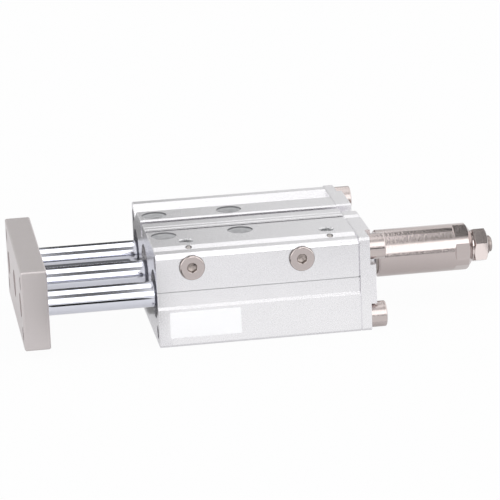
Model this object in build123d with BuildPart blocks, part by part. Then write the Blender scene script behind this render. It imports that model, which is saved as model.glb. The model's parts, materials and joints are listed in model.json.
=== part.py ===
"""Compact guided pneumatic cylinder with a tail rod and an adjustable stroke stop.

X runs along the rods, from the front plate to the adjusting sleeve. Z points up.
The origin is the middle of the four mounting holes, on the bottom face of the body.
All sizes are in millimetres. The rods are drawn fully out, as the cylinder stands at rest.
"""
from build123d import *
from math import radians, tan
import os

os.makedirs("parts", exist_ok=True)

# Main sizes of the cylinder
bore = 16.0
stroke = 30.0
body_height = 30.0
axis_z = 15.0                   # height of all three rods above the bottom face
guide_spacing = 46.0            # between the two guide rods
guide_inset = 9.0               # guide rod to the side of the body
rod_diameter = 8.0

# Clearances
press_gap = 0.02                # pressed and seated parts, on the radius
run_gap = 0.05                  # running parts, on the radius
screw_gap = 0.05                # a screw in its tapped hole, on the radius
shank_gap = 0.1                 # a screw in its clearance hole, on the radius
head_gap = 0.3                  # a screw head in its counterbore, on the radius
drill_past = 1.0                # a drilled hole past the end of the screw in it
cut_past = 1.0                  # a cut past the surface that it opens
stop_play = 0.2                 # between the piston and each cushion

# Holes that fasten the cylinder
mount_pitch = 24.0
mount_edge = 5.0                # front face to the first row
mount_hole = 4.3
mount_counterbore = 8.0
mount_counterbore_depth = 4.5
end_screw_inset = 4.0           # from the sides, the top and the bottom
m5_tap = 4.2
m5_tap_depth = 12.0
edge_break = 0.25               # small chamfer round both ends of the body

# Air ports
port_inset = 13.0               # near side to the top ports
top_port_depth = 7.0
top_port_mouth = 0.35           # width of the countersink at the top of each port
front_port_edge = 11.0          # front face to the front port
rear_port_edge = 8.0            # rear face to the rear port on the top
side_port_x = 15.0              # front face to the rear side port, less the stroke
side_port_z = 25.0
side_port_depth = 10.5
air_passage = 2.0
passage_end_y = -5.5
passage_end_z = 11.0

# Section of the extruded body
side_step = 0.8                 # the lower part of each side stands proud by this
side_step_z = 12.1
side_line_z = 17.5
side_line_depth = 0.25          # thin line along each side
side_line_width = 0.24
ledge_drop = 0.6
ledge_width = 5.5               # near side to the foot of the slope
slope_width = 2.6
top_edge_radius = 1.6
foot_chamfer = 0.8
channel_near = -7.0             # near edge of the middle channel region
slot_width = 1.1
slot_depth = 2.0
rib_far = 3.0
channel_far = 6.9
channel_depth = 4.8
channel_edge = 0.5              # chamfer on the far land, of the body and the rear plate
notch_positions = (-1.4, -4.0)
notch_size = 0.45
groove_inset = 5.1              # far side to the vee groove on the top
groove_width = 9.8
groove_wall = 3.5               # depth of the groove, and width of its far wall

# Rear plate
rear_plate_thickness = 5.0
rear_plate_edge = 0.8
head_recess = 1.8               # how far the screw heads sink into the plate
head_pocket = 4.7               # half width of the pocket round a head
plate_rib_far = -1.3
plate_rib_near = -5.4
plate_land = -8.6
plate_channel_far = 7.3

# Front plate
plate_inset = 1.0               # side of the body to the side of the plate
plate_height = 25.0
plate_thickness = 8.0
plate_gap = 3.3                 # front plate to body with the rods in
plate_edge = 0.4
plate_head_sink = 0.8           # screw heads below the front face of the plate
tool_inset_y = 4.0              # side of the plate to its tapped holes
tool_inset_z = 4.5

# Socket screws
m5_shank = 5.0
m5_head = 8.0
m5_head_height = 5.0
m5_hex = 4.0
m4_shank = 4.0
m4_head = 7.0
m4_head_height = 4.0
m4_hex = 3.0
hex_depth = 2.4
head_chamfer = 0.3
guide_screw_length = 14.0       # under the head
rod_screw_length = 14.0
end_screw_length = 12.0

# Covers, seals and bushes
ring_recess = 1.4
ring_thickness = 1.0
ring_depth = 0.6
ring_gap = 7.0                  # opening of the retaining ring
ring_inner = 14.0
flange_diameter = 18.0
flange_thickness = 1.8
cover_nose = 12.6
cover_nose_length = 2.0
front_cover_end = 12.0          # front face to the inner end of the front cover
tail_cover_length = 7.8
cushion_thickness = 1.4
cushion_outer = 14.0
cushion_inner = 9.4
seal_chamfer = 0.15
o_ring = 1.2
o_ring_start = 2.4              # from the flange to the o-ring groove
rod_seal_outer = 12.0
rod_seal_length = 2.6
bush_wall = 1.2
rod_bush_length = 5.0
guide_bush_wall = 2.0
guide_bush_length = 10.0
guide_bush_starts = (3.7, 20.0)
wiper_outer = 15.0
wiper_recess = 1.3
wiper_length = 2.2
wiper_rim = 0.7                 # width of the wiper's outer rim and of its lip
wiper_dish = 0.8
guide_rod_margin = 1.0          # guide rod end to rear plate with the rods in
rod_chamfer = 0.5

# Piston
piston_clearance = 0.1
piston_stud = 4.8
piston_stud_length = 8.0        # how far the tail rod's stud enters the piston rod
piston_nose = 1.4               # front of the piston to the seal's groove
piston_land = 0.8               # after each groove
seal_groove = 2.2
magnet_groove = 2.0
wear_groove = 2.0
seal_groove_depth = 2.0
magnet_groove_depth = 1.8
wear_groove_depth = 1.0

# Stroke adjuster on the tail rod
thread_diameter = 6.0
thread_end_chamfer = 0.8
sleeve_gap = 5.7                # rear plate to sleeve, with the rods out
sleeve_length = 31.0
sleeve_diameter = 15.0
sleeve_hex = 14.0
sleeve_hex_length = 5.8
sleeve_hex_runout = 0.6          # slope where each flat rises to the round
sleeve_hex_turn = 28.0
sleeve_chamfer = 1.7
sleeve_end_diameter = 10.4
sleeve_thread_length = 10.0
sleeve_bore_gap = 0.3
sleeve_front_chamfer = 0.4
bumper_outer = 13.0
bumper_length = 2.0
bumper_proud = 0.5
bumper_chamfer = 0.2
washer_diameter = 9.6
washer_thickness = 0.5
nut_hex = 10.0
nut_height = 4.5
nut_turn = 40.0
nut_chamfer_diameter = 9.6
nut_chamfer_angle = 30.0
stud_proud = 1.9
shoulder_gap = 1.8              # sleeve front to the shoulder where the thread begins

# Plugs and label
plug_head = 7.9
plug_head_height = 1.0
plug_thread_length = 4.5
plug_hex = 2.8
plug_chamfer = 0.25
ball_diameter = air_passage
ball_sink = 1.05                # ball centre below the slope
label_size = (22.0, 8.2)
label_start = 3.4
label_z = 7.1
label_thickness = 0.12
label_corner = 0.4

# Places along X
front_x = -(mount_edge + mount_pitch / 2)
seal_groove_x = piston_nose
magnet_groove_x = seal_groove_x + seal_groove + piston_land
wear_groove_x = magnet_groove_x + magnet_groove + piston_land
piston_length = wear_groove_x + wear_groove + piston_land
end_room = cushion_thickness + stop_play
body_length = front_cover_end + end_room + piston_length + stroke + end_room + tail_cover_length
rear_x = front_x + body_length
rear_plate_x = rear_x + rear_plate_thickness
plate_rear_x = front_x - plate_gap - stroke
plate_front_x = plate_rear_x - plate_thickness
piston_front_x = front_x + front_cover_end + end_room
piston_rear_x = piston_front_x + piston_length
tail_cover_x = rear_x - tail_cover_length
tail_cushion_x = tail_cover_x - cushion_thickness
guide_rod_end_x = rear_x - stroke - guide_rod_margin
sleeve_x = rear_plate_x + sleeve_gap
sleeve_end_x = sleeve_x + sleeve_length
nut_x = sleeve_end_x + washer_thickness
thread_end_x = nut_x + nut_height + stud_proud
shoulder_x = sleeve_x + shoulder_gap

# Radii and heights that several parts share
bore_r = bore / 2
rod_r = rod_diameter / 2
guide_y = guide_spacing / 2
guide_bore_r = rod_r + guide_bush_wall
side_y = guide_y + guide_inset
end_screw_y = side_y - end_screw_inset
ledge_y = -side_y + ledge_width
slope_y = ledge_y + slope_width
port_y = -side_y + port_inset
groove_far = side_y - groove_inset
groove_near = groove_far - groove_width
groove_bottom = groove_far - groove_wall
plate_width = 2 * (side_y - plate_inset)
upper_side_y = side_y - side_step
ledge_z = body_height - ledge_drop
flange_r = flange_diameter / 2
m5_tap_r = m5_tap / 2
thread_r = thread_diameter / 2
side_ports_x = (front_x + front_port_edge, front_x + side_port_x + stroke)
top_ports_x = (front_x + front_port_edge, rear_x - rear_port_edge)
ball_y = (slope_y + ledge_y) / 2
ball_z = (body_height + ledge_z) / 2
passage = Vector(0, passage_end_y - ball_y, passage_end_z - ball_z)
passage_length = passage.length
passage_dir = passage.normalized()


def turned(points, y=0.0, mode=Mode.ADD):
    """Turn a closed outline of (x, radius) points about the line along X at this y."""
    with BuildSketch(Plane.XZ.offset(-y)) as outline:
        with BuildLine():
            Polyline([(x, axis_z + r) for x, r in points], close=True)
        make_face()
    revolve(outline.sketch, axis=Axis((0, y, axis_z), (1, 0, 0)), mode=mode)


def ring(x_start, x_end, outer_r, inner_r, y=0.0, mode=Mode.ADD):
    """Make a plain ring or, with no inner radius, a disc."""
    turned([(x_start, inner_r), (x_start, outer_r), (x_end, outer_r), (x_end, inner_r)], y, mode)


def hole_x(x_start, x_end, radius, places):
    """Cut round holes along X at the given (y, z) places."""
    with BuildSketch(Plane.YZ.offset(x_start)) as holes:
        with Locations(*places):
            Circle(radius)
    extrude(holes.sketch, amount=x_end - x_start, mode=Mode.SUBTRACT)


def hex_socket_x(x_start, depth, across_flats, places):
    """Cut hexagon sockets along X, from x_start, at the given (y, z) places."""
    with BuildSketch(Plane.YZ.offset(x_start)) as sockets:
        with Locations(*places):
            RegularPolygon(across_flats / 2, 6, major_radius=False, rotation=30)
    extrude(sockets.sketch, amount=depth, mode=Mode.SUBTRACT)


def socket_screw_x(seat_x, direction, head, head_height, shank, shank_length, hex_size, places):
    """Make socket head screws along X. The shank points along direction, from the seat."""
    with BuildSketch(Plane.YZ.offset(seat_x)) as heads:
        with Locations(*places):
            Circle(head / 2)
    extrude(heads.sketch, amount=-direction * head_height)
    chamfer(
        [e for e in edges().filter_by(GeomType.CIRCLE) if abs(e.center().X - seat_x) > head_height / 2],
        length=head_chamfer,
    )
    with BuildSketch(Plane.YZ.offset(seat_x)) as shanks:
        with Locations(*places):
            Circle(shank / 2)
    extrude(shanks.sketch, amount=direction * shank_length)
    hex_socket_x(seat_x - direction * head_height, direction * hex_depth, hex_size, places)


end_screw_places = [
    (y, z)
    for y in (-end_screw_y, end_screw_y)
    for z in (end_screw_inset, body_height - end_screw_inset)
]

# Extruded aluminium body: bore, guide bores, ports, mounting holes and the grooves on its top
half_section = [
    (-side_y + foot_chamfer, 0),
    (-side_y, foot_chamfer),
    (-side_y, side_step_z),
    (-upper_side_y, side_step_z + side_step),
    (-upper_side_y, side_line_z - side_line_width / 2),
    (-upper_side_y + side_line_depth, side_line_z - side_line_width / 2),
    (-upper_side_y + side_line_depth, side_line_z + side_line_width / 2),
    (-upper_side_y, side_line_z + side_line_width / 2),
]
near_section = half_section + [
    (-upper_side_y, ledge_z),
    (ledge_y, ledge_z),
    (slope_y, body_height),
]
far_section = [(-y, z) for y, z in reversed(half_section)]
with BuildPart() as cylinder_body:
    with BuildSketch(Plane.YZ.offset(front_x)) as section:
        with BuildLine():
            Polyline(near_section + [(upper_side_y, body_height)] + far_section, close=True)
        make_face()
        near_corner = section.vertices().sort_by_distance((-upper_side_y, ledge_z))[0]
        far_corner = section.vertices().sort_by_distance((upper_side_y, body_height))[0]
        fillet([near_corner, far_corner], radius=top_edge_radius)
    extrude(amount=body_length)
    end_faces = cylinder_body.faces().filter_by(Plane.YZ)
    chamfer(end_faces.edges(), length=edge_break)
    with BuildSketch(Plane.YZ.offset(front_x)):
        with BuildLine():
            Polyline(
                (rib_far, body_height + cut_past),
                (rib_far, body_height - channel_depth),
                (channel_far, body_height - channel_depth),
                (channel_far, body_height - channel_edge),
                (channel_far + channel_edge, body_height),
                (channel_far + channel_edge, body_height + cut_past),
                close=True,
            )
        make_face()
        with BuildLine():
            Polyline(
                (groove_near, body_height),
                (groove_bottom, body_height - groove_wall),
                (groove_far, body_height),
                (groove_far, body_height + cut_past),
                (groove_near, body_height + cut_past),
                close=True,
            )
        make_face()
        with Locations((channel_near, body_height)):
            Rectangle(slot_width, 2 * slot_depth, align=(Align.MIN, Align.CENTER))
        with Locations(*[(y, body_height) for y in notch_positions]):
            Rectangle(notch_size, notch_size, rotation=45)
    extrude(amount=body_length, mode=Mode.SUBTRACT)
    ring(front_x, rear_x, bore_r, 0, mode=Mode.SUBTRACT)
    flange_end = front_x + ring_recess + ring_thickness + flange_thickness
    ring(front_x, flange_end, flange_r, 0, mode=Mode.SUBTRACT)
    ring(
        front_x + ring_recess,
        front_x + ring_recess + ring_thickness,
        flange_r + ring_depth,
        0,
        mode=Mode.SUBTRACT,
    )
    ring(rear_x - flange_thickness, rear_x, flange_r, 0, mode=Mode.SUBTRACT)
    for y in (-guide_y, guide_y):
        ring(front_x, rear_x, guide_bore_r, 0, y, Mode.SUBTRACT)
        ring(front_x, front_x + wiper_recess + wiper_length, wiper_outer / 2, 0, y, Mode.SUBTRACT)
    hole_x(front_x, front_x + m5_tap_depth, m5_tap_r, end_screw_places)
    hole_x(rear_x - m5_tap_depth, rear_x, m5_tap_r, end_screw_places)
    with Locations(Location((0, 0, body_height))):
        with GridLocations(mount_pitch, mount_pitch, 2, 2):
            CounterBoreHole(mount_hole / 2, mount_counterbore / 2, mount_counterbore_depth, body_height)
    with Locations(*[(x, port_y, body_height) for x in top_ports_x]):
        CounterSinkHole(m5_tap_r, m5_tap_r + top_port_mouth, top_port_depth, counter_sink_angle=90)
    for x in side_ports_x:
        with BuildSketch(Plane.XZ.offset(upper_side_y)):
            with Locations((x, side_port_z)):
                Circle(m5_tap_r)
        extrude(amount=-side_port_depth, mode=Mode.SUBTRACT)
    for x in top_ports_x:
        mouth = Vector(x, ball_y, ball_z) - passage_dir * cut_past
        with BuildSketch(Plane(origin=mouth, z_dir=passage_dir)):
            Circle(air_passage / 2)
        extrude(amount=passage_length + cut_past, mode=Mode.SUBTRACT)
cylinder_body.part.label = "cylinder_body"
export_step(cylinder_body.part, "parts/cylinder_body.step")

# Rear plate: closes the body, carries the tail cover and takes the four long screws
plate_section = [
    (-side_y, 0),
    (-side_y, body_height),
    (plate_land, body_height),
    (plate_land, body_height - slot_depth),
    (channel_near, body_height - slot_depth),
    (channel_near, ledge_z),
    (plate_rib_near, body_height),
    (plate_rib_far, body_height),
    (plate_rib_far, body_height - channel_depth),
    (plate_channel_far, body_height - channel_depth),
    (plate_channel_far, body_height - channel_edge),
    (plate_channel_far + channel_edge, body_height),
    (side_y, body_height),
    (side_y, 0),
]
rod_hole_r = rod_r + sleeve_bore_gap
with BuildPart() as rear_plate:
    with BuildSketch(Plane.YZ.offset(rear_x)):
        with BuildLine():
            Polyline(plate_section, close=True)
        make_face()
    extrude(amount=rear_plate_thickness)
    long_edges = rear_plate.edges().filter_by(Axis.X).group_by(Axis.Y)
    chamfer(long_edges[0] + long_edges[-1], length=rear_plate_edge)
    chamfer(rear_plate.faces().filter_by(Plane.YZ).edges(), length=edge_break)
    ring(rear_x, rear_plate_x, rod_hole_r, 0, mode=Mode.SUBTRACT)
    pocket_x = rear_plate_x - head_recess
    pocket_y = end_screw_y - head_pocket
    for side in (-1, 1):
        for z_low, z_high in (
            (0, end_screw_inset + head_pocket),
            (body_height - end_screw_inset - head_pocket, body_height),
        ):
            with BuildSketch(Plane.YZ.offset(pocket_x)):
                with Locations((side * (pocket_y + side_y) / 2, (z_low + z_high) / 2)):
                    Rectangle(side_y - pocket_y, z_high - z_low)
            extrude(amount=head_recess, mode=Mode.SUBTRACT)
    hole_x(rear_x, rear_plate_x, m5_shank / 2 + shank_gap, end_screw_places)
rear_plate.part.label = "rear_plate"
export_step(rear_plate.part, "parts/rear_plate.step")

with BuildPart() as rear_plate_screws:
    socket_screw_x(
        pocket_x, -1, m5_head, m5_head_height, 2 * (m5_tap_r - screw_gap),
        end_screw_length, m5_hex, end_screw_places,
    )
rear_plate_screws.part.label = "rear_plate_screws"
export_step(rear_plate_screws.part, "parts/rear_plate_screws.step")

# Front rod cover, with pockets for its rod seal, its bush and an o-ring
cover_x = front_x + ring_recess + ring_thickness
cover_step_x = cover_x + flange_thickness
cover_end_x = front_x + front_cover_end
seal_end_x = cover_x + rod_seal_length
seal_r = rod_seal_outer / 2
bush_r = rod_r + bush_wall
fit_bore_r = bore_r - press_gap
o_groove_r = bore_r - o_ring
with BuildPart() as front_cover:
    turned([
        (cover_x, seal_r),
        (cover_x, flange_r - press_gap),
        (cover_step_x, flange_r - press_gap),
        (cover_step_x, fit_bore_r),
        (cover_x + o_ring_start, fit_bore_r),
        (cover_x + o_ring_start, o_groove_r),
        (cover_x + o_ring_start + o_ring, o_groove_r),
        (cover_x + o_ring_start + o_ring, fit_bore_r),
        (cover_end_x - cover_nose_length, fit_bore_r),
        (cover_end_x - cover_nose_length, cover_nose / 2),
        (cover_end_x, cover_nose / 2),
        (cover_end_x, bush_r + press_gap),
        (seal_end_x, bush_r + press_gap),
        (seal_end_x, seal_r),
    ])
front_cover.part.label = "front_cover"
export_step(front_cover.part, "parts/front_cover.step")

with BuildPart() as front_retaining_ring:
    ring_x = front_x + ring_recess
    ring(ring_x, ring_x + ring_thickness - press_gap, flange_r + ring_depth - press_gap, ring_inner / 2)
    with BuildSketch(Plane.YZ.offset(ring_x)):
        with Locations((0, axis_z - flange_r)):
            Rectangle(ring_gap, flange_r)
    extrude(amount=ring_thickness, mode=Mode.SUBTRACT)
front_retaining_ring.part.label = "front_retaining_ring"
export_step(front_retaining_ring.part, "parts/front_retaining_ring.step")

with BuildPart() as rod_bush:
    bush_x = cover_end_x - rod_bush_length
    ring(bush_x, cover_end_x, bush_r, rod_r + run_gap)
rod_bush.part.label = "rod_bush"
export_step(rod_bush.part, "parts/rod_bush.step")

# Tail cover: seals the rear end of the bore round the tail rod
tail_nose_x = tail_cover_x + cover_nose_length
tail_step_x = rear_x - flange_thickness
tail_seal_x = rear_x - rod_seal_length
tail_groove_x = (tail_nose_x + tail_step_x - o_ring) / 2
with BuildPart() as tail_cover:
    turned([
        (tail_cover_x, bush_r + press_gap),
        (tail_cover_x, cover_nose / 2),
        (tail_nose_x, cover_nose / 2),
        (tail_nose_x, fit_bore_r),
        (tail_groove_x, fit_bore_r),
        (tail_groove_x, o_groove_r),
        (tail_groove_x + o_ring, o_groove_r),
        (tail_groove_x + o_ring, fit_bore_r),
        (tail_step_x, fit_bore_r),
        (tail_step_x, flange_r - press_gap),
        (rear_x, flange_r - press_gap),
        (rear_x, seal_r),
        (tail_seal_x, seal_r),
        (tail_seal_x, bush_r + press_gap),
    ])
tail_cover.part.label = "tail_cover"
export_step(tail_cover.part, "parts/tail_cover.step")

with BuildPart() as tail_bush:
    ring(tail_cover_x, tail_seal_x, bush_r, rod_r + run_gap)
tail_bush.part.label = "tail_bush"
export_step(tail_bush.part, "parts/tail_bush.step")

# Round rings that share one form: o-rings, rod seals, cushions, wipers and the magnet
seal_rings = {
    "front_o_ring": (cover_x + o_ring_start, o_ring, bore_r, o_groove_r),
    "tail_o_ring": (tail_groove_x, o_ring, bore_r, o_groove_r),
    "rod_seal": (cover_x, rod_seal_length, seal_r, rod_r + run_gap),
    "tail_rod_seal": (tail_seal_x, rod_seal_length, seal_r, rod_r + run_gap),
    "front_cushion": (cover_end_x, cushion_thickness, cushion_outer / 2, cushion_inner / 2),
    "rear_cushion": (tail_cushion_x, cushion_thickness, cushion_outer / 2, cushion_inner / 2),
}
for name, (x, length, outer_r, inner_r) in seal_rings.items():
    with BuildPart() as seal_ring:
        ring(x, x + length, outer_r - press_gap, inner_r + press_gap)
        chamfer(seal_ring.edges().filter_by(GeomType.CIRCLE).group_by(Axis.X)[0], length=seal_chamfer)
    seal_ring.part.label = name
    export_step(seal_ring.part, f"parts/{name}.step")

# Bushes and wipers of the two guide rods
for side, y in (("near", -guide_y), ("far", guide_y)):
    with BuildPart() as guide_bushes:
        for start in guide_bush_starts:
            x = front_x + start
            ring(x, x + guide_bush_length, guide_bore_r - press_gap, rod_r + run_gap, y)
    guide_bushes.part.label = f"guide_bushes_{side}"
    export_step(guide_bushes.part, f"parts/guide_bushes_{side}.step")

    with BuildPart() as guide_wiper:
        x = front_x + wiper_recess
        turned([
            (x, rod_r + run_gap),
            (x + wiper_length, rod_r + run_gap),
            (x + wiper_length, wiper_outer / 2 - press_gap),
            (x, wiper_outer / 2 - press_gap),
            (x, wiper_outer / 2 - wiper_rim),
            (x + wiper_dish, wiper_outer / 2 - 2 * wiper_rim),
            (x + wiper_dish, rod_r + 2 * wiper_rim),
            (x, rod_r + wiper_rim),
        ], y)
    guide_wiper.part.label = f"guide_wiper_{side}"
    export_step(guide_wiper.part, f"parts/guide_wiper_{side}.step")

# Hexagon socket plugs that close the two side ports
with BuildPart() as port_plugs:
    for x in side_ports_x:
        with BuildSketch(Plane.XZ.offset(upper_side_y)):
            with Locations((x, side_port_z)):
                Circle(plug_head / 2)
        extrude(amount=plug_head_height)
    rims = port_plugs.edges().filter_by(GeomType.CIRCLE).group_by(Axis.Y)[0]
    chamfer(rims, length=plug_chamfer)
    for x in side_ports_x:
        with BuildSketch(Plane.XZ.offset(upper_side_y)):
            with Locations((x, side_port_z)):
                Circle(m5_tap_r - screw_gap)
        extrude(amount=-plug_thread_length)
        with BuildSketch(Plane.XZ.offset(upper_side_y + plug_head_height)):
            with Locations((x, side_port_z)):
                RegularPolygon(plug_hex / 2, 6, major_radius=False)
        extrude(amount=-hex_depth, mode=Mode.SUBTRACT)
port_plugs.part.label = "port_plugs"
export_step(port_plugs.part, "parts/port_plugs.step")

# Balls pressed into the slope, which close the drilled air passages
with BuildPart() as passage_balls:
    with Locations(*[Vector(x, ball_y, ball_z) + passage_dir * ball_sink for x in top_ports_x]):
        Sphere(ball_diameter / 2 - press_gap)
passage_balls.part.label = "passage_balls"
export_step(passage_balls.part, "parts/passage_balls.step")

# Blank label on the lower part of the near side
with BuildPart() as label_plate:
    with BuildSketch(Plane.XZ.offset(side_y)):
        with Locations((front_x + label_start + label_size[0] / 2, label_z)):
            RectangleRounded(*label_size, radius=label_corner)
    extrude(amount=label_thickness)
label_plate.part.label = "label_plate"
export_step(label_plate.part, "parts/label_plate.step")

# Front plate, screwed to the ends of the piston rod and both guide rods
guide_places = [(-guide_y, axis_z), (guide_y, axis_z)]
centre_place = [(0, axis_z)]
m4_seat_x = plate_front_x + plate_head_sink + m4_head_height
m5_seat_x = plate_front_x + plate_head_sink + m5_head_height
with BuildPart() as front_plate:
    with BuildSketch(Plane.YZ.offset(plate_front_x)):
        with Locations((0, axis_z)):
            Rectangle(plate_width, plate_height)
    extrude(amount=plate_thickness)
    chamfer(front_plate.edges(), length=plate_edge)
    hole_x(plate_front_x, m4_seat_x, m4_head / 2 + head_gap, guide_places)
    hole_x(plate_front_x, plate_rear_x, m4_shank / 2 + shank_gap, guide_places)
    hole_x(plate_front_x, m5_seat_x, m5_head / 2 + head_gap, centre_place)
    hole_x(plate_front_x, plate_rear_x, m5_shank / 2 + shank_gap, centre_place)
    tool_y = plate_width / 2 - tool_inset_y
    tool_z = plate_height / 2 - tool_inset_z
    tool_places = [(y, axis_z + z) for y in (-tool_y, tool_y) for z in (-tool_z, tool_z)]
    hole_x(plate_front_x, plate_rear_x, m5_tap_r, tool_places)
front_plate.part.label = "front_plate"
export_step(front_plate.part, "parts/front_plate.step")

with BuildPart() as guide_rod_screws:
    socket_screw_x(
        m4_seat_x, 1, m4_head, m4_head_height, m4_shank,
        guide_screw_length, m4_hex, guide_places,
    )
guide_rod_screws.part.label = "guide_rod_screws"
export_step(guide_rod_screws.part, "parts/guide_rod_screws.step")

with BuildPart() as piston_rod_screw:
    socket_screw_x(
        m5_seat_x, 1, m5_head, m5_head_height, m5_shank,
        rod_screw_length, m5_hex, centre_place,
    )
piston_rod_screw.part.label = "piston_rod_screw"
export_step(piston_rod_screw.part, "parts/piston_rod_screw.step")

# The three rods in front: both guide rods, and the piston rod between them
m4_end_x = m4_seat_x + guide_screw_length + drill_past
m5_end_x = m5_seat_x + rod_screw_length + drill_past
m4_hole_r = m4_shank / 2 + screw_gap
m5_hole_r = m5_shank / 2 + screw_gap
for side, y in (("near", -guide_y), ("far", guide_y)):
    with BuildPart() as guide_rod:
        turned([
            (plate_rear_x, m4_hole_r),
            (plate_rear_x, rod_r),
            (guide_rod_end_x - rod_chamfer, rod_r),
            (guide_rod_end_x, rod_r - rod_chamfer),
            (guide_rod_end_x, 0),
            (m4_end_x, 0),
            (m4_end_x, m4_hole_r),
        ], y)
    guide_rod.part.label = f"guide_rod_{side}"
    export_step(guide_rod.part, f"parts/guide_rod_{side}.step")

stud_r = piston_stud / 2
stud_end_x = piston_front_x - piston_stud_length
with BuildPart() as piston_rod:
    turned([
        (plate_rear_x, m5_hole_r),
        (plate_rear_x, rod_r),
        (piston_front_x, rod_r),
        (piston_front_x, stud_r + screw_gap),
        (stud_end_x - drill_past, stud_r + screw_gap),
        (stud_end_x - drill_past, 0),
        (m5_end_x, 0),
        (m5_end_x, m5_hole_r),
    ])
piston_rod.part.label = "piston_rod"
export_step(piston_rod.part, "parts/piston_rod.step")

# Piston with grooves for its seal, its magnet and its wear ring
piston_r = bore_r - piston_clearance
piston_grooves = {
    "piston_seal": (seal_groove_x, seal_groove, seal_groove_depth, bore_r - run_gap),
    "magnet_ring": (magnet_groove_x, magnet_groove, magnet_groove_depth, piston_r - run_gap),
    "wear_ring": (wear_groove_x, wear_groove, wear_groove_depth, bore_r - run_gap),
}
with BuildPart() as piston:
    ring(piston_front_x, piston_rear_x, piston_r, stud_r + screw_gap)
    for start, width, depth, _ in piston_grooves.values():
        x = piston_front_x + start
        ring(x, x + width, piston_r + run_gap, piston_r - depth, mode=Mode.SUBTRACT)
piston.part.label = "piston"
export_step(piston.part, "parts/piston.step")

for name, (start, width, depth, outer_r) in piston_grooves.items():
    with BuildPart() as piston_ring:
        x = piston_front_x + start
        ring(x + press_gap, x + width - press_gap, outer_r, piston_r - depth + press_gap)
    piston_ring.part.label = name
    export_step(piston_ring.part, f"parts/{name}.step")

# Tail rod: its stud clamps the piston, and its thread carries the stroke adjuster
with BuildPart() as tail_rod:
    turned([
        (stud_end_x, 0),
        (stud_end_x, stud_r),
        (piston_rear_x, stud_r),
        (piston_rear_x, rod_r),
        (shoulder_x, rod_r),
        (shoulder_x, thread_r),
        (thread_end_x - thread_end_chamfer, thread_r),
        (thread_end_x, thread_r - thread_end_chamfer),
        (thread_end_x, 0),
    ])
tail_rod.part.label = "tail_rod"
export_step(tail_rod.part, "parts/tail_rod.step")

# Cushion ring in the front of the adjusting sleeve
bumper_x = sleeve_x - bumper_proud
bumper_end_x = bumper_x + bumper_length
with BuildPart() as sleeve_bumper:
    ring(bumper_x, bumper_end_x, bumper_outer / 2 - run_gap, rod_hole_r)
    chamfer(sleeve_bumper.edges().filter_by(GeomType.CIRCLE).group_by(Axis.X)[0], length=bumper_chamfer)
sleeve_bumper.part.label = "sleeve_bumper"
export_step(sleeve_bumper.part, "parts/sleeve_bumper.step")

# Cutter for the hexagon of the sleeve: all that stands outside the flats and their slopes
sleeve_r = sleeve_diameter / 2
hex_x = sleeve_end_x - sleeve_hex_length
hex_start_x = hex_x - sleeve_hex_runout
with BuildPart() as hex_cutter:
    ring(hex_start_x, sleeve_end_x, sleeve_diameter, 0)
    for x, flat_r in ((hex_start_x, sleeve_r + run_gap), (hex_x, sleeve_hex / 2)):
        with BuildSketch(Plane.YZ.offset(x)):
            with Locations((0, axis_z)):
                RegularPolygon(flat_r, 6, major_radius=False, rotation=sleeve_hex_turn)
    loft(ruled=True, mode=Mode.SUBTRACT)
    with BuildSketch(Plane.YZ.offset(hex_x)):
        with Locations((0, axis_z)):
            RegularPolygon(sleeve_hex / 2, 6, major_radius=False, rotation=sleeve_hex_turn)
    extrude(amount=sleeve_hex_length, mode=Mode.SUBTRACT)

# Adjusting sleeve: round, with a hexagon and an internal thread at its outer end
with BuildPart() as adjusting_sleeve:
    turned([
        (sleeve_x, bumper_outer / 2),
        (sleeve_x, sleeve_r - sleeve_front_chamfer),
        (sleeve_x + sleeve_front_chamfer, sleeve_r),
        (sleeve_end_x - sleeve_chamfer, sleeve_r),
        (sleeve_end_x, sleeve_end_diameter / 2),
        (sleeve_end_x, thread_r + run_gap),
        (sleeve_end_x - sleeve_thread_length, thread_r + run_gap),
        (sleeve_end_x - sleeve_thread_length, rod_hole_r),
        (bumper_end_x + run_gap, rod_hole_r),
        (bumper_end_x + run_gap, bumper_outer / 2),
    ])
    add(hex_cutter.part, mode=Mode.SUBTRACT)
adjusting_sleeve.part.label = "adjusting_sleeve"
export_step(adjusting_sleeve.part, "parts/adjusting_sleeve.step")

with BuildPart() as lock_washer:
    ring(sleeve_end_x, nut_x, washer_diameter / 2, thread_r + run_gap)
lock_washer.part.label = "lock_washer"
export_step(lock_washer.part, "parts/lock_washer.step")

# Lock nut: a hexagon whose corners are turned off at both ends
nut_corner_r = nut_hex / 3**0.5
nut_bevel = (nut_corner_r - nut_chamfer_diameter / 2) * tan(radians(nut_chamfer_angle))
with BuildPart() as lock_nut:
    with BuildSketch(Plane.YZ.offset(nut_x)):
        with Locations((0, axis_z)):
            RegularPolygon(nut_hex / 2, 6, major_radius=False, rotation=nut_turn)
    extrude(amount=nut_height)
    turned([
        (nut_x, thread_r + run_gap),
        (nut_x, nut_chamfer_diameter / 2),
        (nut_x + nut_bevel, nut_corner_r),
        (nut_x + nut_height - nut_bevel, nut_corner_r),
        (nut_x + nut_height, nut_chamfer_diameter / 2),
        (nut_x + nut_height, thread_r + run_gap),
    ], mode=Mode.INTERSECT)
lock_nut.part.label = "lock_nut"
export_step(lock_nut.part, "parts/lock_nut.step")
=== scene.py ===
# %% [markdown]
# A compact guided air cylinder, dressed for a studio picture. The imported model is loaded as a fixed
# frame: its parts stand at their real place and size, in metres. This file gives each part its finish,
# and adds the fine shapes that are easier to make here, such as screw threads and knurled rims. Small
# lengths are written in millimetres, as on a drawing, and times mm makes them metres.

# %% Load the frame
import json
from math import atan2, cos, pi, radians, sin

import bpy
from mathutils import Matrix, Vector


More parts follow.
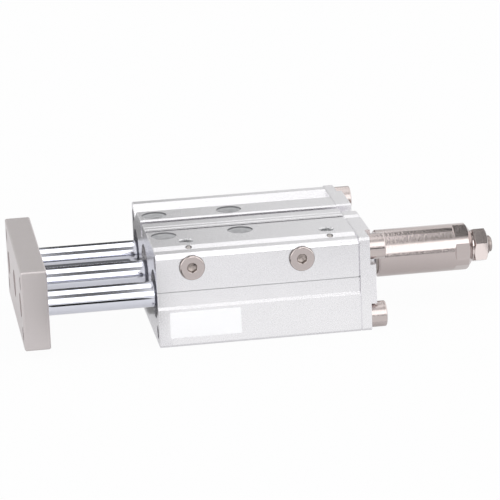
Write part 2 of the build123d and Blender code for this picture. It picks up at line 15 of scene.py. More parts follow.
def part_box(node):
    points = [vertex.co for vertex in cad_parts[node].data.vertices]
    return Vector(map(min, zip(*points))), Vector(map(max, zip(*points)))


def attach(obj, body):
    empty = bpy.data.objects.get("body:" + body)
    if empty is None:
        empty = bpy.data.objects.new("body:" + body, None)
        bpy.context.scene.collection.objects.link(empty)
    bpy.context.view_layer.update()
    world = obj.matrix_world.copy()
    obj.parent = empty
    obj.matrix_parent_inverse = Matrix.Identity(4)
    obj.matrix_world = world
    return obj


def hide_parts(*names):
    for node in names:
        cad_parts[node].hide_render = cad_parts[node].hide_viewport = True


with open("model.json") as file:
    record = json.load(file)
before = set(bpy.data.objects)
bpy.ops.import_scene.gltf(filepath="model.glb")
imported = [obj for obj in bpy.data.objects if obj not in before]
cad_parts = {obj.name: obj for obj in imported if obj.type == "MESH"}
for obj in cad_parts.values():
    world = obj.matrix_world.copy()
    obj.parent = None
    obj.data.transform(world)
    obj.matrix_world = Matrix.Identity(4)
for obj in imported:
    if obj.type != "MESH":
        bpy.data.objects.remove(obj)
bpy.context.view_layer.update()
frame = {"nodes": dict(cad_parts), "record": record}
nodes = frame["nodes"]
record = frame["record"]
mm = 0.001

# %% [markdown]
# The camera stands a little left of the cylinder's middle and looks down on it from nearly a metre,
# through a long lens, so that lines which run away from us hardly converge. Its angles are a turn,
# a tilt and a slight roll. From them come three axes at right angles, which are all that a camera is.

# %% Camera
camera_place = Vector((-111.28, -878.67, 284.73)) * mm
turn, tilt, roll = radians(8.282), radians(16.629), radians(-2.331)
sensor_width, focal_length = 36.0, 210.8
forward = Vector((sin(turn) * cos(tilt), cos(turn) * cos(tilt), -sin(tilt)))
level_right = Vector((cos(turn), -sin(turn), 0))
level_up = level_right.cross(forward)
right = cos(roll) * level_right + sin(roll) * level_up
up = cos(roll) * level_up - sin(roll) * level_right
bpy.ops.object.camera_add()
camera = bpy.context.object
camera.matrix_world = Matrix.Translation(camera_place) @ Matrix((right, up, -forward)).transposed().to_4x4()
camera.data.sensor_width = sensor_width
camera.data.lens = focal_length
bpy.context.scene.camera = camera
bpy.context.scene.view_settings.view_transform = "Standard"
print("camera looks along", [round(v, 3) for v in forward])

# %% [markdown]
# Materials and lights are built from nodes, so a few small helpers come first. The main one adds a
# node, sets its options, and fills its inputs: an input given as a socket is linked, and any other
# value is written in. The other two are short forms for sums and for mixing colours.

# %% Helpers for node trees
def add(tree, kind, inputs={}, **options):
    """Add one shader node, with its inputs linked to sockets or set to values."""
    node = tree.nodes.new(kind)
    for name, value in options.items():
        setattr(node, name, value)
    for name, value in inputs.items():
        if isinstance(value, bpy.types.NodeSocket):
            tree.links.new(value, node.inputs[name])
        else:
            node.inputs[name].default_value = value
    return node


def calculate(tree, operation, *values):
    """Put one to three values through a Math node."""
    return add(tree, "ShaderNodeMath", dict(enumerate(values)), operation=operation).outputs[0]


def mix_colours(tree, amount, first, second):
    """Mix two colours by an amount from zero to one."""
    return add(tree, "ShaderNodeMix", {0: amount, 6: first, 7: second}, data_type="RGBA").outputs[2]


print("node helpers ready")

# %% [markdown]
# Bright metal shows its surroundings more than itself, so the studio matters as much as the finish.
# The studio has long white softboxes above and in front of the object, with dark gaps between them.
# They run along the cylinder, so most of the pattern depends on one angle, measured round that line:
# 0 degrees is straight up, and positive angles lean towards the camera. Each list below gives such
# angles with the brightness there, and the light changes evenly from one to the next.

# %% Bands of light round the cylinder
softbox, bright_softbox = 2.2, 2.4
rod_gap, sleeve_gap, nut_gap = 0.06, 0.02, 0.03
far_wall, low_front = 0.90, 0.12
soft_bands = [(-90, 0.71), (-63, 0.71), (-53, 1.45), (50, 1.45), (62, 1.6), (86, 1.6), (90, 1.45)]
front_bands = [(-90, 0.45), (90, 0.45)]
rod_bands = [
    (-90, rod_gap), (-38, rod_gap), (-33, softbox), (12, softbox), (16, rod_gap), (45, rod_gap),
    (50, softbox), (86, softbox), (90, low_front),
]
sleeve_bands = [
    (-90, far_wall), (-42, far_wall), (-37, sleeve_gap), (-13, sleeve_gap), (-8, 0.95), (6, 0.75),
    (38, 0.26), (43, bright_softbox), (77, bright_softbox), (81, low_front), (90, low_front),
]
nut_bands = [
    (-90, far_wall), (-42, far_wall), (-37, nut_gap), (28, nut_gap),
    (40, bright_softbox), (77, bright_softbox), (81, low_front), (90, low_front),
]
print("bands of the rods", len(rod_bands), "and of the sleeve", len(sleeve_bands))

# %% [markdown]
# The other number that counts is how far a direction leans along the cylinder, from minus one to one.
# The rods, the screws at the rear, the sleeve and the nut each mirror their own stretch of the room, and
# strong gaps stand only there, so the satin body between them keeps an even tone. The front face of the
# body looks the other way, and a dim stretch there keeps it greyer than the sides.

# %% Stretches of the room, each from one lean to another
zones = [
    (-0.27, -0.08, front_bands),
    (0.0645, 0.1045, rod_bands),
    (0.1778, 0.1825, rod_bands),
    (0.1825, 0.2100, sleeve_bands),
    (0.2100, 0.252, nut_bands),
]
zone_blur = 0.001
angle_range, lean_range = (-180, 180), (-0.5, 0.5)


def ramp_over(tree, steps, value, lowest, highest):
    """Turn (place, brightness) pairs into one colour ramp that reads a value from lowest to highest."""
    share = add(tree, "ShaderNodeMapRange", {"Value": value, "From Min": lowest, "From Max": highest})
    ramp = add(tree, "ShaderNodeValToRGB", {"Fac": share.outputs[0]})
    ramp.color_ramp.elements.remove(ramp.color_ramp.elements[1])
    for i, (place, level) in enumerate(steps):
        position = (place - lowest) / (highest - lowest)
        stop = ramp.color_ramp.elements[0] if i == 0 else ramp.color_ramp.elements.new(position)
        stop.position = position
        stop.color = (level, level, level, 1)
    return ramp.outputs[0]


print("stretches of the room", len(zones))

# %% [markdown]
# The world is the studio for everything but the camera, which sees plain white round the object.

# %% World
world = bpy.data.worlds.new("studio")
bpy.context.scene.world = world
world.use_nodes = True
sky = world.node_tree
sky.nodes.clear()
direction = add(sky, "ShaderNodeTexCoord").outputs["Generated"]
split = add(sky, "ShaderNodeSeparateXYZ", {0: direction})
nearness = calculate(sky, "MULTIPLY", split.outputs["Y"], -1.0)
angle = calculate(sky, "DEGREES", calculate(sky, "ARCTAN2", nearness, split.outputs["Z"]))
pattern = ramp_over(sky, soft_bands, angle, *angle_range)
for zone_start, zone_end, bands in zones:
    edges = [(zone_start - zone_blur, 0), (zone_start, 1), (zone_end, 1), (zone_end + zone_blur, 0)]
    within = ramp_over(sky, edges, split.outputs["X"], *lean_range)
    own = ramp_over(sky, bands, angle, *angle_range)
    pattern = mix_colours(sky, within, pattern, own)
seen = add(sky, "ShaderNodeLightPath").outputs["Is Camera Ray"]
studio = add(sky, "ShaderNodeBackground", {"Color": pattern}).outputs[0]
white = add(sky, "ShaderNodeBackground", {"Color": (1, 1, 1, 1)}).outputs[0]
chosen = add(sky, "ShaderNodeMixShader", {0: seen, 1: studio, 2: white}).outputs[0]
add(sky, "ShaderNodeOutputWorld", {"Surface": chosen})
print("world nodes", len(sky.nodes))

# %% [markdown]
# The paper under the cylinder is white. What the camera sees of it glows almost fully white, as in a
# cut-out picture, and keeps a share of its own shading, so that the shadow remains. Metal sees it glow
# too, but less, so the undersides of the rods still darken where the paper lies in shadow.

# %% Paper
paper_size = 4.0
paper_grey, blue_share = 0.60, 1.02
camera_glow, metal_glow = 0.96, 0.46


def studio_look(name):
    """Make an empty material for something that belongs to the studio."""
    look = bpy.data.materials.new(f"studio_{name}")
    look.use_nodes = True
    look.node_tree.nodes.clear()
    return look


def glowing(tree, level=1.0):
    """A white surface that glows at a level."""
    return add(tree, "ShaderNodeEmission", {"Color": (1, 1, 1, 1), "Strength": level}).outputs[0]


bpy.ops.mesh.primitive_plane_add(size=paper_size)
paper = bpy.context.object
paper.name = "paper"
paper_look = studio_look("paper")
tree = paper_look.node_tree
path = add(tree, "ShaderNodeLightPath")
for_camera = calculate(tree, "MULTIPLY", path.outputs["Is Camera Ray"], camera_glow)
for_metal = calculate(tree, "MULTIPLY", path.outputs["Is Glossy Ray"], metal_glow)
amount = calculate(tree, "ADD", for_camera, for_metal)
paper_colour = (paper_grey, paper_grey, paper_grey * blue_share, 1)
matte = add(tree, "ShaderNodeBsdfDiffuse", {"Color": paper_colour}).outputs[0]
mixed = add(tree, "ShaderNodeMixShader", {0: amount, 1: matte, 2: glowing(tree)}).outputs[0]
add(tree, "ShaderNodeOutputMaterial", {"Surface": mixed})
paper.data.materials.append(paper_look)
print("paper", paper_size, "m wide")

# %% [markdown]
# Photographers lay card beside shiny metal, just where the camera can't see it. A black card in front
# of the rods and one in front of the sleeve give each a crisp dark line low on the side, where they
# would otherwise mirror pale paper. A grey card behind the rods dulls the front face of the body, and
# white ones brighten the lower flat of the nut and the lower side of the body. Only mirror rays see
# the cards. Each has its reach in x and in y, in millimetres, and its brightness.

# %% Cards round the metal
cards = {
    "rod_card": ((-47, -14.5), (-110, -54), 0.02),
    "sleeve_card": ((54, 130), (-670, -170), 0.02),
    "face_card": ((-52, -18), (2, 120), 0.16),
    "nut_card": ((91.2, 97.5), (-50, -12), 1.45),
    "side_card": ((-13, 60), (-76, -33), 0.92),
}
card_height = 0.5
for name, ((x_low, x_high), (y_low, y_high), level) in cards.items():
    middle = Vector(((x_low + x_high) / 2, (y_low + y_high) / 2, card_height)) * mm
    bpy.ops.mesh.primitive_plane_add(size=mm, location=middle)
    card = bpy.context.object
    card.name = name
    card.scale = (x_high - x_low, y_high - y_low, 1)
    bpy.ops.object.transform_apply(location=True, rotation=False, scale=True)
    card_look = studio_look(name)
    tree = card_look.node_tree
    add(tree, "ShaderNodeOutputMaterial", {"Surface": glowing(tree, level)})
    card.data.materials.append(card_look)
    card.visible_camera = False
    card.visible_diffuse = False
    card.visible_shadow = False
print("cards", len(cards))

# %% [markdown]
# Every finish here is one shader with three layers of noise. A broad one shifts the colour a little, a
# fine grain varies the roughness, and a stretched one draws the lines that a die or a lathe leaves. All
# of them read Object coordinates, which are metres on the real part, so a grain of a tenth of a
# millimetre is written as that. Squeezing the coordinates along one axis turns specks into long lines.

# %% Helpers for noise on a part
noise_detail = 3.0


def object_place(tree, squeeze=(1, 1, 1)):
    """Object coordinates, squeezed along the axes that noise is to be stretched along."""
    place = add(tree, "ShaderNodeTexCoord").outputs["Object"]
    return add(tree, "ShaderNodeMapping", {"Vector": place, "Scale": squeeze}).outputs[0]


def noise(tree, place, size, detail=noise_detail):
    """Noise with specks of about one size, in millimetres."""
    inputs = {"Vector": place, "Scale": 1 / (size * mm), "Detail": detail}
    return add(tree, "ShaderNodeTexNoise", inputs).outputs["Fac"]


print("noise helpers ready")

# %% A finish from colour, roughness, grain and lines
cloud_size, cloud_detail = 7.0, 4.0
line_share = 0.35
rough_spread = 0.15
die_lines = (0.03, 1, 1)
finishes = {}


def finish(name, colour, roughness, grain, lines=(0.3, 0.0), squeeze=die_lines, tone=0.04, metallic=1.0):
    """Make a material. grain and lines are each a size and a depth in millimetres."""
    look = bpy.data.materials.new(name)
    look.use_nodes = True
    tree = look.node_tree
    cloud = noise(tree, object_place(tree), cloud_size, cloud_detail)
    speck = noise(tree, object_place(tree), grain[0])
    line = noise(tree, object_place(tree, squeeze), lines[0])
    cloud_and_line = add(tree, "ShaderNodeMix", {0: line_share, 2: cloud, 3: line}).outputs[0]
    dark = [c * (1 - tone) for c in colour] + [1]
    pale = [min(1, c * (1 + tone)) for c in colour] + [1]
    tint = mix_colours(tree, cloud_and_line, dark, pale)
    rough_low, rough_high = roughness * (1 - rough_spread), roughness * (1 + rough_spread)
    rough = add(tree, "ShaderNodeMapRange", {"Value": speck, "To Min": rough_low, "To Max": rough_high})
    ridges = add(tree, "ShaderNodeBump", {"Height": line, "Strength": 1.0, "Distance": lines[1] * mm})
    grain_bump = add(tree, "ShaderNodeBump", {
        "Height": speck, "Strength": 1.0, "Distance": grain[1] * mm, "Normal": ridges.outputs[0]})
    grain_bump.name = "grain"
    shader = tree.nodes["Principled BSDF"]
    tree.links.new(tint, shader.inputs["Base Color"])
    tree.links.new(rough.outputs[0], shader.inputs["Roughness"])
    tree.links.new(grain_bump.outputs[0], shader.inputs["Normal"])
    shader.inputs["Metallic"].default_value = metallic
    finishes[name] = look


print("finish helper ready")

# %% [markdown]
# The body is drawn through a die and anodised, which leaves a satin skin with faint lines along it, and
# the covers in its bore are turned. The front plate and the small steel parts are plated with nickel,
# which is a little warm. The plate is blasted first, so it is dull, and the turned parts stay bright.

# %% Aluminium and nickel
turned_lines = (1, 0.02, 0.02)
finish("anodised_aluminium", (0.89, 0.88, 0.90), 0.27, (0.3, 0.0005), (0.35, 0.001))
finish("turned_aluminium", (0.80, 0.79, 0.81), 0.3, (0.2, 0.001), (0.15, 0.003), turned_lines)
finish("nickel_plate", (0.655, 0.61, 0.605), 0.36, (0.3, 0.003), (0.3, 0.002))
finish("nickel_steel", (0.58, 0.515, 0.50), 0.10, (0.6, 0.006), (0.12, 0.0006), turned_lines)
print("finishes", len(finishes))

# %% [markdown]
# The rods are ground, hard chromed and polished, so they mirror the studio almost sharply and look
# slightly blue. The retaining ring is bare spring steel, and the guide bushes are bronze.

# %% Chrome, spring steel and bronze
finish("chrome_rod", (0.79, 0.80, 0.87), 0.07, (0.3, 0.0001), (0.2, 0.0), turned_lines, tone=0.02)
finish("spring_steel", (0.38, 0.36, 0.35), 0.35, (0.3, 0.003))
finish("bush_bronze", (0.62, 0.42, 0.20), 0.4, (0.2, 0.002), (0.15, 0.002), turned_lines)
print("finishes", len(finishes))

# %% [markdown]
# Seals, cushions, the wear ring and the magnet are no metals, so their colour comes from light that
# enters the surface. They are duller and have a deeper grain. The label is a smooth white film. With
# these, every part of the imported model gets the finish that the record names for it.

# %% Rubber, plastic and film, and a finish for every part
finish("seal_rubber", (0.03, 0.03, 0.033), 0.6, (0.15, 0.004), metallic=0.0)
finish("cushion_urethane", (0.42, 0.37, 0.34), 0.45, (0.3, 0.003), metallic=0.0)
finish("wear_plastic", (0.72, 0.66, 0.55), 0.5, (0.3, 0.003), metallic=0.0)
finish("magnet_black", (0.06, 0.06, 0.06), 0.55, (0.2, 0.004), metallic=0.2)
finish("label_film", (0.93, 0.93, 0.94), 0.3, (0.4, 0.0005), tone=0.01, metallic=0.0)
for subpart in record["subparts"]:
    part = nodes[subpart["node"]]
    part.data.materials.clear()
    part.data.materials.append(finishes[subpart["material_slot"]])
print("finishes", len(finishes), "on parts", len(record["subparts"]))

# %% [markdown]
# Some surfaces of a part differ from the rest of it, so another finish is painted over the main one
# where they lie. A mask says where: it is one inside and zero outside. Most masks here measure how far
# a point is from the axis of a hole. Holes that repeat are folded onto each other first, as a sheet of
# paper is folded before it is punched, so that one axis stands for all of its kind.

# %% Helpers that mask a place on a part
def coordinate(tree, axis):
    """One Object coordinate, in metres."""
    return add(tree, "ShaderNodeSeparateXYZ", {0: object_place(tree)}).outputs[axis]


def folded_distance(tree, axes, folds, centre):
    """Distance in metres from a centre in the plane of two axes, each of which may be folded at a place."""
    flat = []
    for axis, fold in zip(axes, folds):
        value = coordinate(tree, axis)
        if fold is not None:
            value = calculate(tree, "ABSOLUTE", calculate(tree, "SUBTRACT", value, fold * mm))
        flat.append(value)
    point = add(tree, "ShaderNodeCombineXYZ", {"X": flat[0], "Y": flat[1]}).outputs[0]
    middle = (centre[0] * mm, centre[1] * mm, 0)
    return add(tree, "ShaderNodeVectorMath", {0: point, 1: middle}, operation="DISTANCE").outputs["Value"]


def inside(tree, value, low, high):
    """One where a value in metres lies between two values in millimetres, and zero elsewhere."""
    return calculate(tree, "COMPARE", value, (low + high) / 2 * mm, (high - low) / 2 * mm)


print("mask helpers ready")

# %% Helpers that paint a finish over another
def cover(tree, mask, socket, over):
    """Put something over what an input of a node has, where the mask is one."""
    kind, first, second, result = ("RGBA", 6, 7, 2) if socket.type == "RGBA" else ("FLOAT", 2, 3, 0)
    under = socket.links[0].from_socket if socket.links else socket.default_value
    mixed = add(tree, "ShaderNodeMix", {0: mask, first: under, second: over}, data_type=kind)
    tree.links.new(mixed.outputs[result], socket)


def paint_over(name, mask, dark, pale, rough_range, metallic=1.0, size=0.4, squeeze=(1, 1, 1)):
    """Cover a finish, where the mask is one, with a noise between two colours and two roughnesses."""
    tree = finishes[name].node_tree
    shader = tree.nodes["Principled BSDF"]
    speck = noise(tree, object_place(tree, squeeze), size)
    tone = mix_colours(tree, speck, (*dark, 1), (*pale, 1))
    rough_low, rough_high = rough_range
    rough = add(tree, "ShaderNodeMapRange", {"Value": speck, "To Min": rough_low, "To Max": rough_high})
    cover(tree, mask, shader.inputs["Base Color"], tone)
    cover(tree, mask, shader.inputs["Roughness"], rough.outputs[0])
    cover(tree, mask, shader.inputs["Metallic"], metallic)


print("paint helpers ready")

# %% [markdown]
# The mounting holes are counterbored after the bar is drawn, so their walls are rough and carry the
# rings of the tool. A dark band just under the top of each counterbore is painted shade, standing in for
# the shadow that the rim casts on the wall. The two air ports get a mottle of dark and pale, which is
# painted shade and painted glints of their threads, and the thin line along each side is painted darker,
# as painted shade in that groove. The places of the holes and ports come from the record, which names
# them as mounts.

# %% Holes, ports and the side line of the body
blue_trace = 0.01


def cool_grey(level):
    """A grey with a trace of blue, as aluminium has."""
    return (level, level, level + blue_trace)


mounts = {mount["name"]: mount for mount in record["mounts"]}
hole_reach = mounts["body_mount"]["dims"]["spacing_x_mm"] / 2
front_port, rear_port = [Vector(mounts[name]["pos_m"]) / mm for name in ("front_port", "rear_port")]
ports_middle, ports_reach = (front_port.x + rear_port.x) / 2, (rear_port.x - front_port.x) / 2
counterbore_r, port_r = 4.05, 2.46
lip_low, lip_high = 29.5, 29.98
line_low, line_high = 17.36, 17.64
line_floor, line_mouth = 30.7, 31.5

tree = finishes["anodised_aluminium"].node_tree
from_hole = folded_distance(tree, "XY", (0, 0), (hole_reach, hole_reach))
counterbores = inside(tree, from_hole, 0, counterbore_r)
paint_over(
    "anodised_aluminium", counterbores, cool_grey(0.50), cool_grey(0.92), (0.35, 0.6),
    metallic=0.52, size=0.5, squeeze=(0.3, 0.3, 2))
# Painted shade: a dark band just under the top of each counterbore wall.
lip_shade = calculate(tree, "MULTIPLY", counterbores, inside(tree, coordinate(tree, "Z"), lip_low, lip_high))
paint_over("anodised_aluminium", lip_shade, cool_grey(0.20), cool_grey(0.45), (0.3, 0.5))
# Painted shade and painted glints: a dark and pale mottle in the port holes, for the threads.
from_port = folded_distance(tree, "XY", (ports_middle, None), (ports_reach, front_port.y))
ports = inside(tree, from_port, 0, port_r)
paint_over(
    "anodised_aluminium", ports, cool_grey(0.16), cool_grey(0.95), (0.2, 0.35), metallic=0.6, size=0.8)
# Painted shade: the thin groove along each side is painted darker.
at_height = inside(tree, coordinate(tree, "Z"), line_low, line_high)
from_middle = calculate(tree, "ABSOLUTE", coordinate(tree, "Y"))
side_line_shade = calculate(tree, "MULTIPLY", at_height, inside(tree, from_middle, line_floor, line_mouth))
paint_over("anodised_aluminium", side_line_shade, cool_grey(0.50), cool_grey(0.66), (0.4, 0.5))
print("holes at", hole_reach, "and ports at", [round(port.x, 1) for port in (front_port, rear_port)])

# %% [markdown]
# The knurled rims and the sockets of the plugs are painted darker than their faces, as painted shade.
# The sleeve is blasted before it is plated, so its grain is deeper than on the other nickelled parts.
# Nothing else of the finish differs there, so only that depth is changed.

# %% Rims and sockets of the plugs, and grain of the sleeve
front_plug_x, rear_plug_x, plug_height = -6.0, 28.0, 25.0
plugs_middle, plugs_reach = (front_plug_x + rear_plug_x) / 2, (rear_plug_x - front_plug_x) / 2
rim_low_r, rim_high_r, rim_near_y, rim_far_y = 3.70, 4.2, -32.05, -31.0
socket_r, socket_near_y, socket_far_y = 1.8, -32.1, -29.0
sleeve_start, sleeve_end, sleeve_grain = 57.0, 88.0, 0.019

tree = finishes["nickel_steel"].node_tree
from_plug = folded_distance(tree, "XZ", (plugs_middle, None), (plugs_reach, plug_height))
on_rim = inside(tree, from_plug, rim_low_r, rim_high_r)
rim_shade = calculate(tree, "MULTIPLY", on_rim, inside(tree, coordinate(tree, "Y"), rim_near_y, rim_far_y))
# Painted shade: the side walls and knurl of the plug heads are painted dark.
paint_over("nickel_steel", rim_shade, (0.10, 0.09, 0.085), (0.24, 0.21, 0.20), (0.3, 0.45))
in_socket = inside(tree, from_plug, 0, socket_r)
# Painted shade: the hexagon sockets are painted darker, mottled with paler specks.
socket_shade = calculate(
    tree, "MULTIPLY", in_socket, inside(tree, coordinate(tree, "Y"), socket_near_y, socket_far_y))
paint_over("nickel_steel", socket_shade, (0.09, 0.08, 0.075), (0.72, 0.63, 0.59), (0.2, 0.4), size=0.7)
on_sleeve = inside(tree, coordinate(tree, "X"), sleeve_start, sleeve_end)
cover(tree, on_sleeve, tree.nodes["grain"].inputs["Distance"], sleeve_grain * mm)
print("plugs", plugs_reach * 2, "mm apart")

# %% [markdown]
# The chrome of the tail rod ends where its thread begins, and the bare steel there is dark with oil.

# %% Thread of the tail rod
chrome_end, past_the_end = 58.4, 120
tree = finishes["chrome_rod"].node_tree
threaded = inside(tree, coordinate(tree, "X"), chrome_end, past_the_end)
paint_over("chrome_rod", threaded, (0.30, 0.26, 0.25), (0.46, 0.41, 0.39), (0.25, 0.4))
print("chrome ends at", chrome_end)

# %% [markdown]
# Screws, plugs and rods are all turned, so one helper makes them: it takes half of the outline, as
# points of place along the axis and radius, and sweeps it round with a Screw modifier. A lathe does the
# same with its tool. With a pitch, the outline also moves forward on each turn, and leaves a thread.

# %% Helper to turn a shape about its axis
weld = 1e-7


def turned(name, outline, pitch=0.0, turns=1, segments=48):
    """Sweep a closed outline of (place, radius) points, in millimetres, round the X axis."""
    bpy.ops.object.select_all(action="DESELECT")
    bpy.ops.mesh.primitive_circle_add(vertices=len(outline), radius=mm)
    piece = bpy.context.object
    piece.name = name
    for vertex, (place, radius) in zip(piece.data.vertices, outline):
        vertex.co = (place * mm, 0, radius * mm)
    sweep = piece.modifiers.new("sweep", "SCREW")
    sweep.axis = "X"
    sweep.screw_offset = pitch * mm
    sweep.iterations = turns
    sweep.steps = segments
    sweep.render_steps = segments
    sweep.use_merge_vertices = pitch == 0
    sweep.merge_threshold = weld
    bpy.ops.object.modifier_apply(modifier="sweep")
    bpy.ops.object.mode_set(mode="EDIT")
    bpy.ops.mesh.select_all(action="SELECT")
    bpy.ops.mesh.remove_doubles(threshold=weld)
    bpy.ops.mesh.delete_loose()
    bpy.ops.mesh.select_all(action="SELECT")
    if pitch:
        bpy.ops.mesh.fill_holes(sides=len(outline))
    bpy.ops.mesh.normals_make_consistent(inside=False)
    bpy.ops.object.mode_set(mode="OBJECT")
    return piece


print("turning helper ready")

# %% [markdown]
# A thread is a ridge wound round a core. Its outline is a blunt tooth: it rises over four tenths of the
# pitch, has a narrow crest, and falls again. The tooth's foot is sunk a little into the core, so that no
# gap shows. In a nut or a port the root is the larger radius, and the tooth points inwards.

# %% Helpers for threads and for joining pieces
crest_start, crest_end, tooth_end = 0.40, 0.54, 0.94
foot_depth = 0.03
thread_segments = 32
smooth_angle = radians(32)


def thread(name, start, pitch, turns, root, crest):
    """Make the ridge of a thread between a root and a crest radius, in millimetres."""
    foot = root - foot_depth if crest > root else root + foot_depth
    tooth = [(0, foot), (crest_start * pitch, crest), (crest_end * pitch, crest), (tooth_end * pitch, foot)]
    outline = [(start + place, radius) for place, radius in tooth]
    return turned(name, outline, pitch, turns, thread_segments)


def joined(name, pieces):
    """Join pieces into one object, with flat faces flat and round ones smooth."""
    bpy.ops.object.select_all(action="DESELECT")
    for piece in pieces:
        piece.select_set(True)
    bpy.context.view_layer.objects.active = pieces[0]
    bpy.ops.object.join()
    whole = bpy.context.object
    whole.name = name
    bpy.ops.object.shade_smooth_by_angle(angle=smooth_angle)
    return whole


print("thread helpers ready")

# %% [markdown]
# Every screw and plug is driven with a hexagon key. The head is turned with a rounded rim, which catches
# the light, and with a small countersink where the key goes in. Two short flats beside the rounding
# keep the shading of the flat faces flat.

# %% Outline of a screw
countersink, key_play = 0.2, 0.02
short_flat = 0.1
tip_chamfer = 0.3
arc_steps = 4


def screw_outline(head_r, head_height, rounding, core_r, length, hexagon):
    """Half of a screw's outline, from its seat round the head and on to the tip."""
    mouth_r = hexagon / 2 + countersink + key_play
    arc = [radians(90 * i / arc_steps) for i in range(arc_steps + 1)]
    rim = [(-head_height + rounding * (1 - sin(a)), head_r - rounding * (1 - cos(a))) for a in arc]
    return [
        (0, core_r), (0, head_r), (-head_height + rounding + short_flat, head_r), *rim,
        (-head_height, head_r - rounding - short_flat), (-head_height, mouth_r),
        (-head_height + countersink, mouth_r - countersink), (-head_height + countersink, 0),
        (length, 0), (length, core_r - tip_chamfer), (length - tip_chamfer, core_r),
    ]


print("outline helper ready")

# %% [markdown]
# The socket is cut as a real one is broached: a hexagon straight down, with the point of the drill left
# below it. The cutter is a six sided prism whose inner face is poked out to a point, and a Boolean
# takes it away from the head.

# %% Helpers to cut a hexagon socket
def hexagon_cutter(hexagon, depth, mouth_x):
    """A prism along X, pointed at its inner end, that reaches a depth past the mouth of a socket."""
    corner_r, drill_point = hexagon / 3 ** 0.5, hexagon / 4
    bpy.ops.object.select_all(action="DESELECT")
    bpy.ops.mesh.primitive_cylinder_add(
        vertices=6, radius=corner_r * mm, depth=2 * depth * mm,
        location=(mouth_x * mm, 0, 0), rotation=(0, pi / 2, 0))
    cutter = bpy.context.object
    bpy.ops.object.transform_apply(location=True, rotation=True, scale=False)
    bpy.ops.object.mode_set(mode="EDIT")
    bpy.ops.mesh.select_mode(type="FACE")
    bpy.ops.mesh.select_all(action="DESELECT")
    bpy.ops.object.mode_set(mode="OBJECT")
    for face in cutter.data.polygons:
        face.select = len(face.vertices) == 6 and face.center.x > mouth_x * mm
    bpy.ops.object.mode_set(mode="EDIT")
    bpy.ops.mesh.poke(offset=drill_point * mm)
    bpy.ops.object.mode_set(mode="OBJECT")
    return cutter


def cut_away(piece, cutter):
    """Take the shape of a cutter out of a piece, and remove the cutter."""
    bpy.ops.object.select_all(action="DESELECT")
    piece.select_set(True)
    bpy.context.view_layer.objects.active = piece
    cut = piece.modifiers.new("socket", "BOOLEAN")
    cut.operation = "DIFFERENCE"
    cut.solver = "EXACT"
    cut.object = cutter
    bpy.ops.object.modifier_apply(modifier="socket")
    bpy.data.objects.remove(cutter)


print("socket helpers ready")

# %% [markdown]
# The rims of the plugs are knurled, so that fingers can start them. A knurl is the turned rim with
# every second step pushed in, here by nearly two tenths of a millimetre.

# %% Helper for a knurled rim
head_segments = 96
knurl_share = 0.955
rim_play = 0.01


def radius_of(vertex):
    """Distance of a vertex from the X axis, in metres."""
    return (vertex.co.y ** 2 + vertex.co.z ** 2) ** 0.5


def draw_in(vertex, share):
    """Bring a vertex nearer to the X axis, to a share of its distance."""
    vertex.co.y *= share
    vertex.co.z *= share


def knurl(piece, rim_r):
    """Push in every second step of a turned rim."""
    for vertex in piece.data.vertices:
        step = round(atan2(vertex.co.y, vertex.co.z) / (2 * pi) * head_segments)
        if radius_of(vertex) > (rim_r - rim_play) * mm and step % 2:
            draw_in(vertex, knurl_share)


print("knurl of", head_segments // 2, "teeth")

# %% [markdown]
# Now the whole screw: the turned body, its knurl where it has one, the socket and the thread. The
# thread leaves a short plain length at both ends.

# %% Helper for a screw with a hexagon socket
thread_from, plain_length = 0.8, 1.2


def socket_screw(
        name, head_r, head_height, rounding, hexagon, hex_depth,
        core_r, thread_r, pitch, length, knurled=False):
    """Make a screw along X. Its head ends at -head_height, and its thread runs from 0 to length."""
    outline = screw_outline(head_r, head_height, rounding, core_r, length, hexagon)
    body = turned(name, outline, segments=head_segments)
    if knurled:
        knurl(body, head_r)
    cut_away(body, hexagon_cutter(hexagon, hex_depth, -head_height))
    turns = int((length - plain_length) / pitch)
    ridge = thread(f"{name}_ridge", thread_from, pitch, turns, core_r, thread_r)
    return joined(name, [body, ridge])


print("screw helper ready")

# %% [markdown]
# What repeats is modelled once and copied to its places, each copy with its own mesh. A finished piece
# sits at the origin with its place in its mesh, so turning and moving are applied. It then gets its
# finish and the body it rides on, and the CAD part that it replaces is hidden.

# %% Helpers to place and dress a piece
def placed(piece, name, place, euler):
    """Copy a piece with its own mesh, turn it, move it to a place in millimetres, and apply both."""
    bpy.ops.object.select_all(action="DESELECT")
    copy = piece.copy()
    copy.data = piece.data.copy()
    copy.name = name
    bpy.context.collection.objects.link(copy)
    copy.rotation_euler = euler
    copy.location = Vector(place) * mm
    copy.select_set(True)
    bpy.context.view_layer.objects.active = copy
    bpy.ops.object.transform_apply(location=True, rotation=True, scale=False)
    return copy


def dress(piece, slot, body, *replaced):
    """Give a piece its finish and its body, and hide the CAD parts that it replaces."""
    piece.data.materials.clear()
    piece.data.materials.append(finishes[slot])
    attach(piece, body)
    if replaced:
        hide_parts(*replaced)


def box_mm(node):
    """Lowest and highest corner of a CAD part, in millimetres."""
    return [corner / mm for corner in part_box(node)]


print("dressing helpers ready")

# %% [markdown]
# Four long screws hold the rear plate, two hold the guide rods and one holds the piston rod. Where the
# heads end is read from the CAD part, and the seat of the screws is one head's height from there. The
# screws of the rear plate point forwards, so they are turned round.

# %% Socket head screws
rod_height, guide_rod_y = 15, 23
rear_screw_y, rear_screw_low, rear_screw_high = 28, 4, 26


def screw_set(node, body, from_behind, places, head_height, **sizes):
    """Model a screw once, copy it to each (y, z) place, and hide the CAD part that the copies replace."""
    pattern_piece = socket_screw(f"{node}_pattern", head_height=head_height, **sizes)
    low, high = box_mm(node)
    seat_x = high.x - head_height if from_behind else low.x + head_height
    euler = (pi / 2, 0, pi if from_behind else 0)
    copies = [placed(pattern_piece, f"{node}_{i}", (seat_x, y, z), euler) for i, (y, z) in enumerate(places)]
    bpy.data.objects.remove(pattern_piece)
    dress(joined(f"{node}_detailed", copies), "nickel_steel", body, node)
    print(node, len(places), "seated at", round(seat_x, 2))


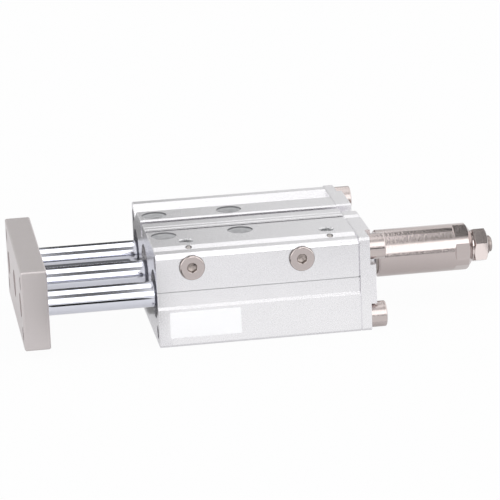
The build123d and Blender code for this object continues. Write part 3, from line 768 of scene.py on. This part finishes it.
screw_set(
    "rear_plate_screws", "cylinder", True,
    [(y, z) for y in (-rear_screw_y, rear_screw_y) for z in (rear_screw_low, rear_screw_high)],
    head_r=4.0, head_height=5.0, rounding=0.35, hexagon=4.0, hex_depth=2.4,
    core_r=1.8, thread_r=2.05, pitch=0.8, length=12.0)
screw_set(
    "guide_rod_screws", "rod_assembly", False, [(-guide_rod_y, rod_height), (guide_rod_y, rod_height)],
    head_r=3.5, head_height=4.0, rounding=0.3, hexagon=3.0, hex_depth=2.4,
    core_r=1.62, thread_r=2.0, pitch=0.7, length=14.0)
screw_set(
    "piston_rod_screw", "rod_assembly", False, [(0, rod_height)],
    head_r=4.0, head_height=5.0, rounding=0.35, hexagon=4.0, hex_depth=2.4,
    core_r=2.05, thread_r=2.5, pitch=0.8, length=14.0)

# %% [markdown]
# Two plugs close the side ports. They are short screws with a wide, thin head, which stands a fifth of
# a millimetre proud of the side. The edge of the face is well rounded, and the knurl shows round it.

# %% Port plugs
plug_head = 1.0
plug = socket_screw(
    "plug", head_r=3.95, head_height=plug_head, rounding=0.55, hexagon=2.8, hex_depth=1.9,
    core_r=1.75, thread_r=2.05, pitch=0.8, length=4.5, knurled=True)
seat_y = box_mm("port_plugs")[0].y + plug_head
plugs = [
    placed(plug, f"plug_{i}", (x, seat_y, plug_height), (pi / 6, 0, pi / 2))
    for i, x in enumerate((front_plug_x, rear_plug_x))
]
bpy.data.objects.remove(plug)
dress(joined("port_plugs_detailed", plugs), "nickel_steel", "cylinder", "port_plugs")
print("plugs", len(plugs), "seated at", round(seat_y, 2))

# %% [markdown]
# The tail rod carries the sleeve and the nut on a thread of six millimetres with a pitch of one. The rod
# is turned down to the root of the thread, and the ridge is wound round it. A lathe leaves a chamfer at
# the end, so the crests of the last turn are brought down to the same slope.

# %% Tail rod with its thread
low, high = box_mm("tail_rod")
piston_end = box_mm("piston")[1].x
neck_r, rod_r, shoulder = 2.4, 4.0, 0.3
root_r, crest_r, chamfer = 2.42, 3.0, 0.8
thread_start, run_in, thread_pitch, thread_turns = 58.5, 0.1, 1.0, 35
end_r = crest_r - chamfer
rod = turned("tail_rod_core", [
    (low.x, 0), (low.x, neck_r), (piston_end, neck_r), (piston_end, rod_r),
    (thread_start - shoulder, rod_r), (thread_start, rod_r - shoulder), (thread_start, root_r),
    (high.x - (root_r - end_r), root_r), (high.x, end_r), (high.x, 0),
])
ridge = thread("tail_rod_ridge", thread_start + run_in, thread_pitch, thread_turns, root_r, crest_r)
for vertex in ridge.data.vertices:
    slope = crest_r * mm - (vertex.co.x - (high.x - chamfer) * mm)
    if radius_of(vertex) > slope:
        draw_in(vertex, slope / radius_of(vertex))
turned_rod = joined("tail_rod_turned", [rod, ridge])
tail_rod = placed(turned_rod, "tail_rod_detailed", (0, 0, rod_height), (0, 0, 0))
bpy.data.objects.remove(turned_rod)
dress(tail_rod, "chrome_rod", "rod_assembly", "tail_rod")
print("tail rod", round(low.x, 2), "to", round(high.x, 2))

# %% [markdown]
# The two air ports on the top are tapped M5. Down in the hole, the thread shows as bright rings. It is
# wound once along X and then stood upright, so that it runs down from the top of the body.

# %% Threads in the top ports
first_ring, port_pitch, port_turns = 0.45, 0.8, 7
hole_r, ring_r = 2.12, 1.82
top = box_mm("cylinder_body")[1].z
port_ridge = thread("port_ridge", first_ring, port_pitch, port_turns, hole_r, ring_r)
ridges = [
    placed(port_ridge, f"port_{i}", (port.x, port.y, top), (0, pi / 2, 0))
    for i, port in enumerate((front_port, rear_port))
]
bpy.data.objects.remove(port_ridge)
dress(joined("port_threads", ridges), "anodised_aluminium", "cylinder")
print("port threads", len(ridges))
